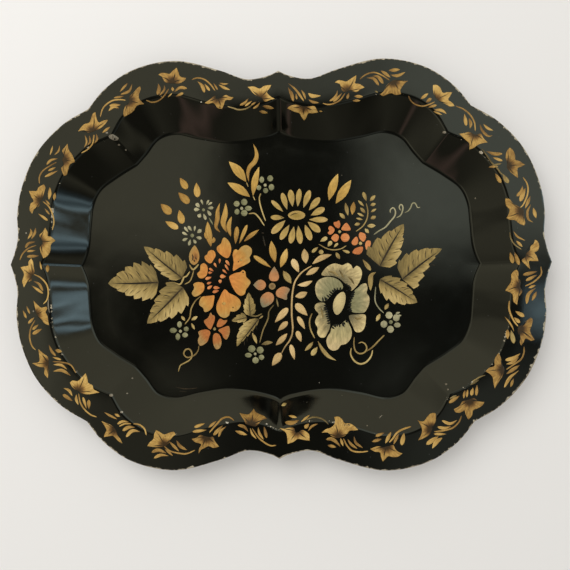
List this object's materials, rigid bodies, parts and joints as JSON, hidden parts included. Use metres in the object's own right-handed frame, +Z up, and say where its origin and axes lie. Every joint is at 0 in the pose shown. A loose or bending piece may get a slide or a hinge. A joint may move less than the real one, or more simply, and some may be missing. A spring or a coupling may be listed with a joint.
{
  "type": "painted metal serving tray",
  "caption": "Shallow oblong metal tray with a wide scalloped flange, black lacquer, and a brush-painted gold and orange bouquet with a leaf border.",
  "frame": {"origin": "middle of the floor's underside, where the tray stands", "axes": "+X along the long side, +Y across it towards the top of the bouquet, +Z up out of the tray"},
  "size_m": [0.611, 0.4638, 0.0328],
  "materials": {
    "black_lacquer": "gloss black lacquer on pressed sheet steel, rubbed and scratched",
    "gold_paint": "bronze-gold paint, satin, brush-laid",
    "orange_paint": "orange paint, satin, brush-laid",
    "rose_paint": "dusty rose paint, satin, brush-laid",
    "olive_paint": "olive bronze paint shaded with brown, satin",
    "stone_paint": "grey-green paint, satin",
    "cream_paint": "cream paint, satin"
  },
  "bodies": {
    "root": {"anemone_eye": "cream_paint", "anemone_petal_crown": "cream_paint", "anemone_petal_foot": "stone_paint", "anemone_petal_left_lower": "cream_paint", "anemone_petal_left_upper": "stone_paint", "anemone_petal_right_lower": "cream_paint", "anemone_petal_right_upper": "stone_paint", "bud": "gold_paint", "daisy_eye": "gold_paint", "daisy_petal_01": "gold_paint", "daisy_petal_02": "gold_paint", "daisy_petal_03": "gold_paint", "daisy_petal_04": "gold_paint", "daisy_petal_05": "gold_paint", "daisy_petal_06": "gold_paint", "daisy_petal_07": "gold_paint", "daisy_petal_08": "gold_paint", "daisy_petal_09": "gold_paint", "daisy_petal_10": "gold_paint", "daisy_petal_11": "gold_paint", "daisy_petal_12": "gold_paint", "daisy_petal_13": "gold_paint", "daisy_petal_14": "gold_paint", "daisy_petal_15": "gold_paint", "gold_leaf_far_left": "gold_paint", "gold_leaf_far_middle": "gold_paint", "gold_leaf_far_right": "gold_paint", "gold_leaf_pair_left": "gold_paint", "gold_leaf_pair_right": "gold_paint", "leaf_left_long": "olive_paint", "leaf_left_lower": "olive_paint", "leaf_left_upper": "olive_paint", "leaf_right_long": "olive_paint", "leaf_right_lower": "olive_paint", "leaf_right_upper": "olive_paint", "leaf_small_lower": "olive_paint", "leaf_small_middle": "olive_paint", "leaf_small_upper": "olive_paint", "orange_petal_01": "orange_paint", "orange_petal_02": "orange_paint", "orange_petal_03": "orange_paint", "orange_petal_04": "orange_paint", "orange_petal_05": "orange_paint", "orange_petal_06": "orange_paint", "orange_petal_07": "orange_paint", "orange_petal_08": "orange_paint", "rose_eye": "olive_paint", "rose_petal_left": "rose_paint", "rose_petal_lower": "rose_paint", "rose_petal_right": "rose_paint", "rose_petal_top": "rose_paint", "star_petal_01": "orange_paint", "star_petal_02": "orange_paint", "star_petal_03": "orange_paint", "star_petal_04": "orange_paint", "star_petal_05": "orange_paint", "tray_pressing": "black_lacquer"}
  },
  "joints": []
}
